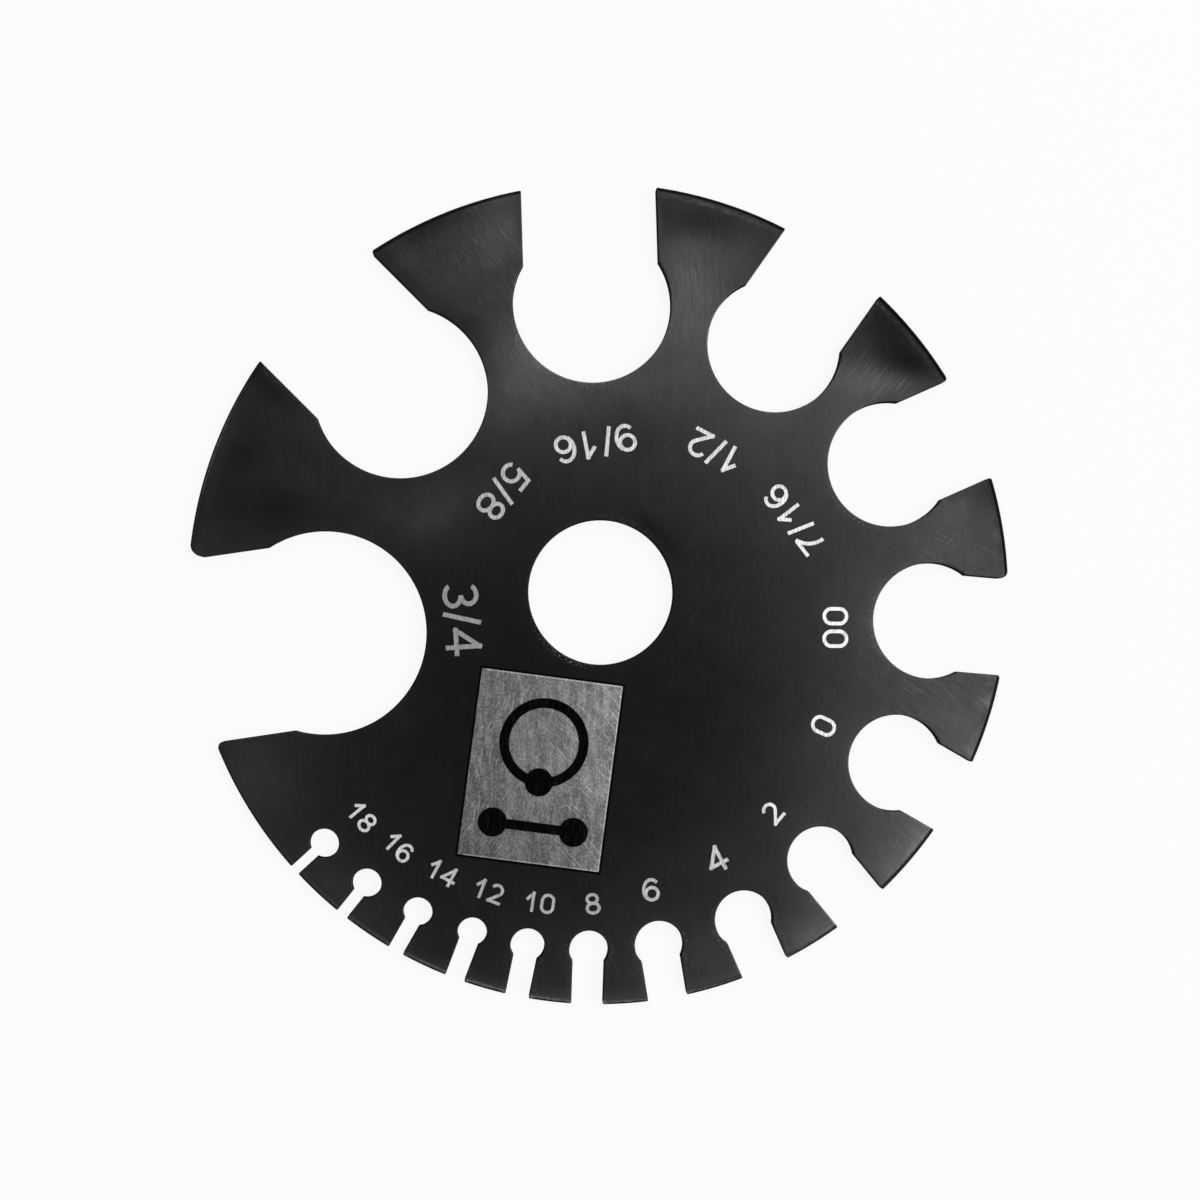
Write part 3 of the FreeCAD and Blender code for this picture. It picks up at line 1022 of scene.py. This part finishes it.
# The panel's bare steel, in grey from 0 to 1
panelFinish = {
    "left": 0.44,
    "right": 0.515,
    "footShare": 0.88,            # what is left of the grey at the foot of the panel
    "streakLines": (92, 6.0, 0.6),
    "streakSwirl": (0.22, 1.6),   # scale and reach
    "streak": 0.045,
    "fineLines": (90, 1.6, 0.1),
    "fine": 0.045,
    "cloudSwirl": (0.3, 3),
    "cloudScale": 0.5,
    "cloud": 0.025,
    "toothScale": 4.5,
    "tooth": 0.07,                # the finest roughness
    "rightScratches": [(128, 4.5), (142, 2.6)],  # direction and length
    "leftScratches": [(82, 2.8), (60, 1.2)],
    "rightShare": (-3, 0.25),     # where the right side's begin, and what is left of them beyond
    "leftShare": (2, 0.4),
    "scratchWidth": 0.12,
    "scratch": 0.22,
    "pits": (0.9, 0.12),
    "pit": 0.10,
    "lipReach": (-0.2, -0.08),    # bright line inside the border
    "lipStart": (0.4, 0.6),       # from the left border, where it has none
    "lip": 0.22,
    "metal": 0.7,
    "roughness": (0.5, 0.36),
    "relief": 0.25,
    "reliefDepth": 0.01,
}


def panelSteel():
    material, tree, shader = newMaterial("panelSteel")
    look = panelFinish
    place = placeOf(tree)
    border = useGroup(tree, panelGroup, Place=place)
    across, upward = border["Across"], border["Upward"]
    half, halfHeight = panel["width"] / 2, panel["height"] / 2
    swirled = wavering(tree, place, *look["streakSwirl"])
    streaks = grainAt(tree, swirled, *look["streakLines"])
    fine = grainAt(tree, place, *look["fineLines"])
    clouded = wavering(tree, place, *look["cloudSwirl"])
    cloud = noise(tree, clouded, look["cloudScale"], 3)["Fac"]
    toothing = noise(tree, place, look["toothScale"], 3)["Fac"]
    start, least = look["rightShare"]
    onRight = spread(tree, across, start, half, least, 1)
    start, least = look["leftShare"]
    onLeft = spread(tree, across, -half, start, 1, least)

    grey = spread(tree, across, -half, half, look["left"], look["right"])
    grey = times(tree, grey, spread(tree, upward, -halfHeight, 0, look["footShare"], 1))
    grey = plus(tree, grey, spread(tree, streaks, 0, 1, -look["streak"], look["streak"]))
    grey = plus(tree, grey, spread(tree, fine, 0, 1, -look["fine"], look["fine"]))
    grey = plus(tree, grey, spread(tree, cloud, *noiseRange, -look["cloud"], look["cloud"]))
    grey = plus(tree, grey, spread(tree, toothing, *noiseRange, -look["tooth"], look["tooth"]))
    for side, amount in (("rightScratches", onRight), ("leftScratches", onLeft)):
        for degrees, length in look[side]:
            marks = scratchesAt(tree, place, degrees, length, look["scratchWidth"])
            grey = plus(tree, grey, times(tree, marks, amount, look["scratch"]))
    grey = minus(tree, grey, times(tree, specksAt(tree, place, *look["pits"]), look["pit"]))
    lip = spread(tree, border["Reach"], *look["lipReach"], 0, look["lip"])
    first, full = (inset - half for inset in look["lipStart"])
    grey = plus(tree, grey, times(tree, lip, spread(tree, across, first, full, 0, 1)))

    roughness = spread(tree, fine, 0, 1, *look["roughness"])
    coat(tree, shader, grey, roughness, plus(tree, fine, streaks), look)
    shader.inputs["Metallic"].default_value = look["metal"]
    return material


buildDisc([blackenedSteel(), blackenedWalls()])
buildFloor("sizeFigures", [face for face in carvedFaces if not inPanel(face)], bareSteel())
buildFloor("panelFloor", [face for face in carvedFaces if inPanel(face)], panelSteel())
print("disc built")

# The studio: a white table, a pale room and large soft lamps round the camera
studio = {
    "tableSize": 8.0,
    "tableGrey": 0.9,
    "tableRoughness": 0.9,
    "whiteShare": 0.91,
    "roomLight": 0.2,
    "lamps": {
        "rightLamp": {"power": 3.6, "size": 0.45, "place": (0.48, -0.02, 0.75)},
        "topLamp": {"power": 2.0, "size": 0.45, "place": (0.10, 0.50, 0.75)},
        "lowerLamp": {"power": 0.8, "size": 0.45, "place": (-0.25, -0.52, 0.75)},
    },
}


def buildTable():
    half = studio["tableSize"] / 2
    mesh = bpy.data.meshes.new("table")
    corners = [(-half, -half, 0), (half, -half, 0), (half, half, 0), (-half, half, 0)]
    mesh.from_pydata(corners, [], [(0, 1, 2, 3)])
    table = bpy.data.objects.new("table", mesh)
    bpy.context.scene.collection.objects.link(table)
    material, tree, shader = newMaterial("whiteTable")
    shader.inputs["Base Color"].default_value = (*[studio["tableGrey"]] * 3, 1)
    shader.inputs["Roughness"].default_value = studio["tableRoughness"]
    shader.inputs["Specular IOR Level"].default_value = 0.0
    # It shows evenly white to the camera and in reflections, and is lit plainly otherwise
    glow = node(tree, "Emission")
    path = node(tree, "LightPath")
    seen = 0.0
    for ray in ("Is Camera Ray", "Is Glossy Ray", "Is Transmission Ray"):
        seen = calc(tree, "MAXIMUM", seen, path.outputs[ray])
    blend = node(tree, "MixShader")
    tree.links.new(times(tree, seen, studio["whiteShare"]), blend.inputs["Fac"])
    tree.links.new(shader.outputs[0], blend.inputs[1])
    tree.links.new(glow.outputs[0], blend.inputs[2])
    tree.links.new(blend.outputs[0], tree.nodes["Material Output"].inputs["Surface"])
    mesh.materials.append(material)


def buildLights():
    world = bpy.data.worlds.new("paleRoom")
    bpy.context.scene.world = world
    world.use_nodes = True
    background = world.node_tree.nodes["Background"]
    background.inputs["Color"].default_value = (1, 1, 1, 1)
    background.inputs["Strength"].default_value = studio["roomLight"]
    for name, lampLook in studio["lamps"].items():
        light = bpy.data.lights.new(name, "AREA")
        light.energy = lampLook["power"]
        light.size = lampLook["size"]
        lamp = bpy.data.objects.new(name, light)
        bpy.context.scene.collection.objects.link(lamp)
        lamp.location = lampLook["place"]
        lamp.rotation_euler = (-lamp.location).to_track_quat("-Z", "Y").to_euler()


# The camera stands almost straight above, tipped a little towards the lower left
camera = {"distance": 250.7, "tilt": 2.75, "heading": 207.7, "lens": 72.84, "aim": (-0.11, -0.82)}


def buildCamera():
    data = bpy.data.cameras.new("camera")
    data.lens = camera["lens"]
    data.sensor_width = 36
    data.clip_start = 0.01
    eye = bpy.data.objects.new("camera", data)
    bpy.context.scene.collection.objects.link(eye)
    tilt = math.radians(camera["tilt"])
    side = polar(math.sin(tilt), math.radians(camera["heading"]))
    back = Vector((side.x, side.y, math.cos(tilt)))
    aim = Vector((*camera["aim"], thickness)) * mm
    right = Vector((0, 1, 0)).cross(back).normalized()
    up = back.cross(right)
    turn = Matrix((right, up, back)).transposed().to_4x4()
    eye.matrix_world = Matrix.Translation(aim + back * camera["distance"] * mm) @ turn
    bpy.context.scene.camera = eye


buildTable()
buildLights()
buildCamera()
bpy.context.scene.view_settings.view_transform = "Standard"
print("studio built")
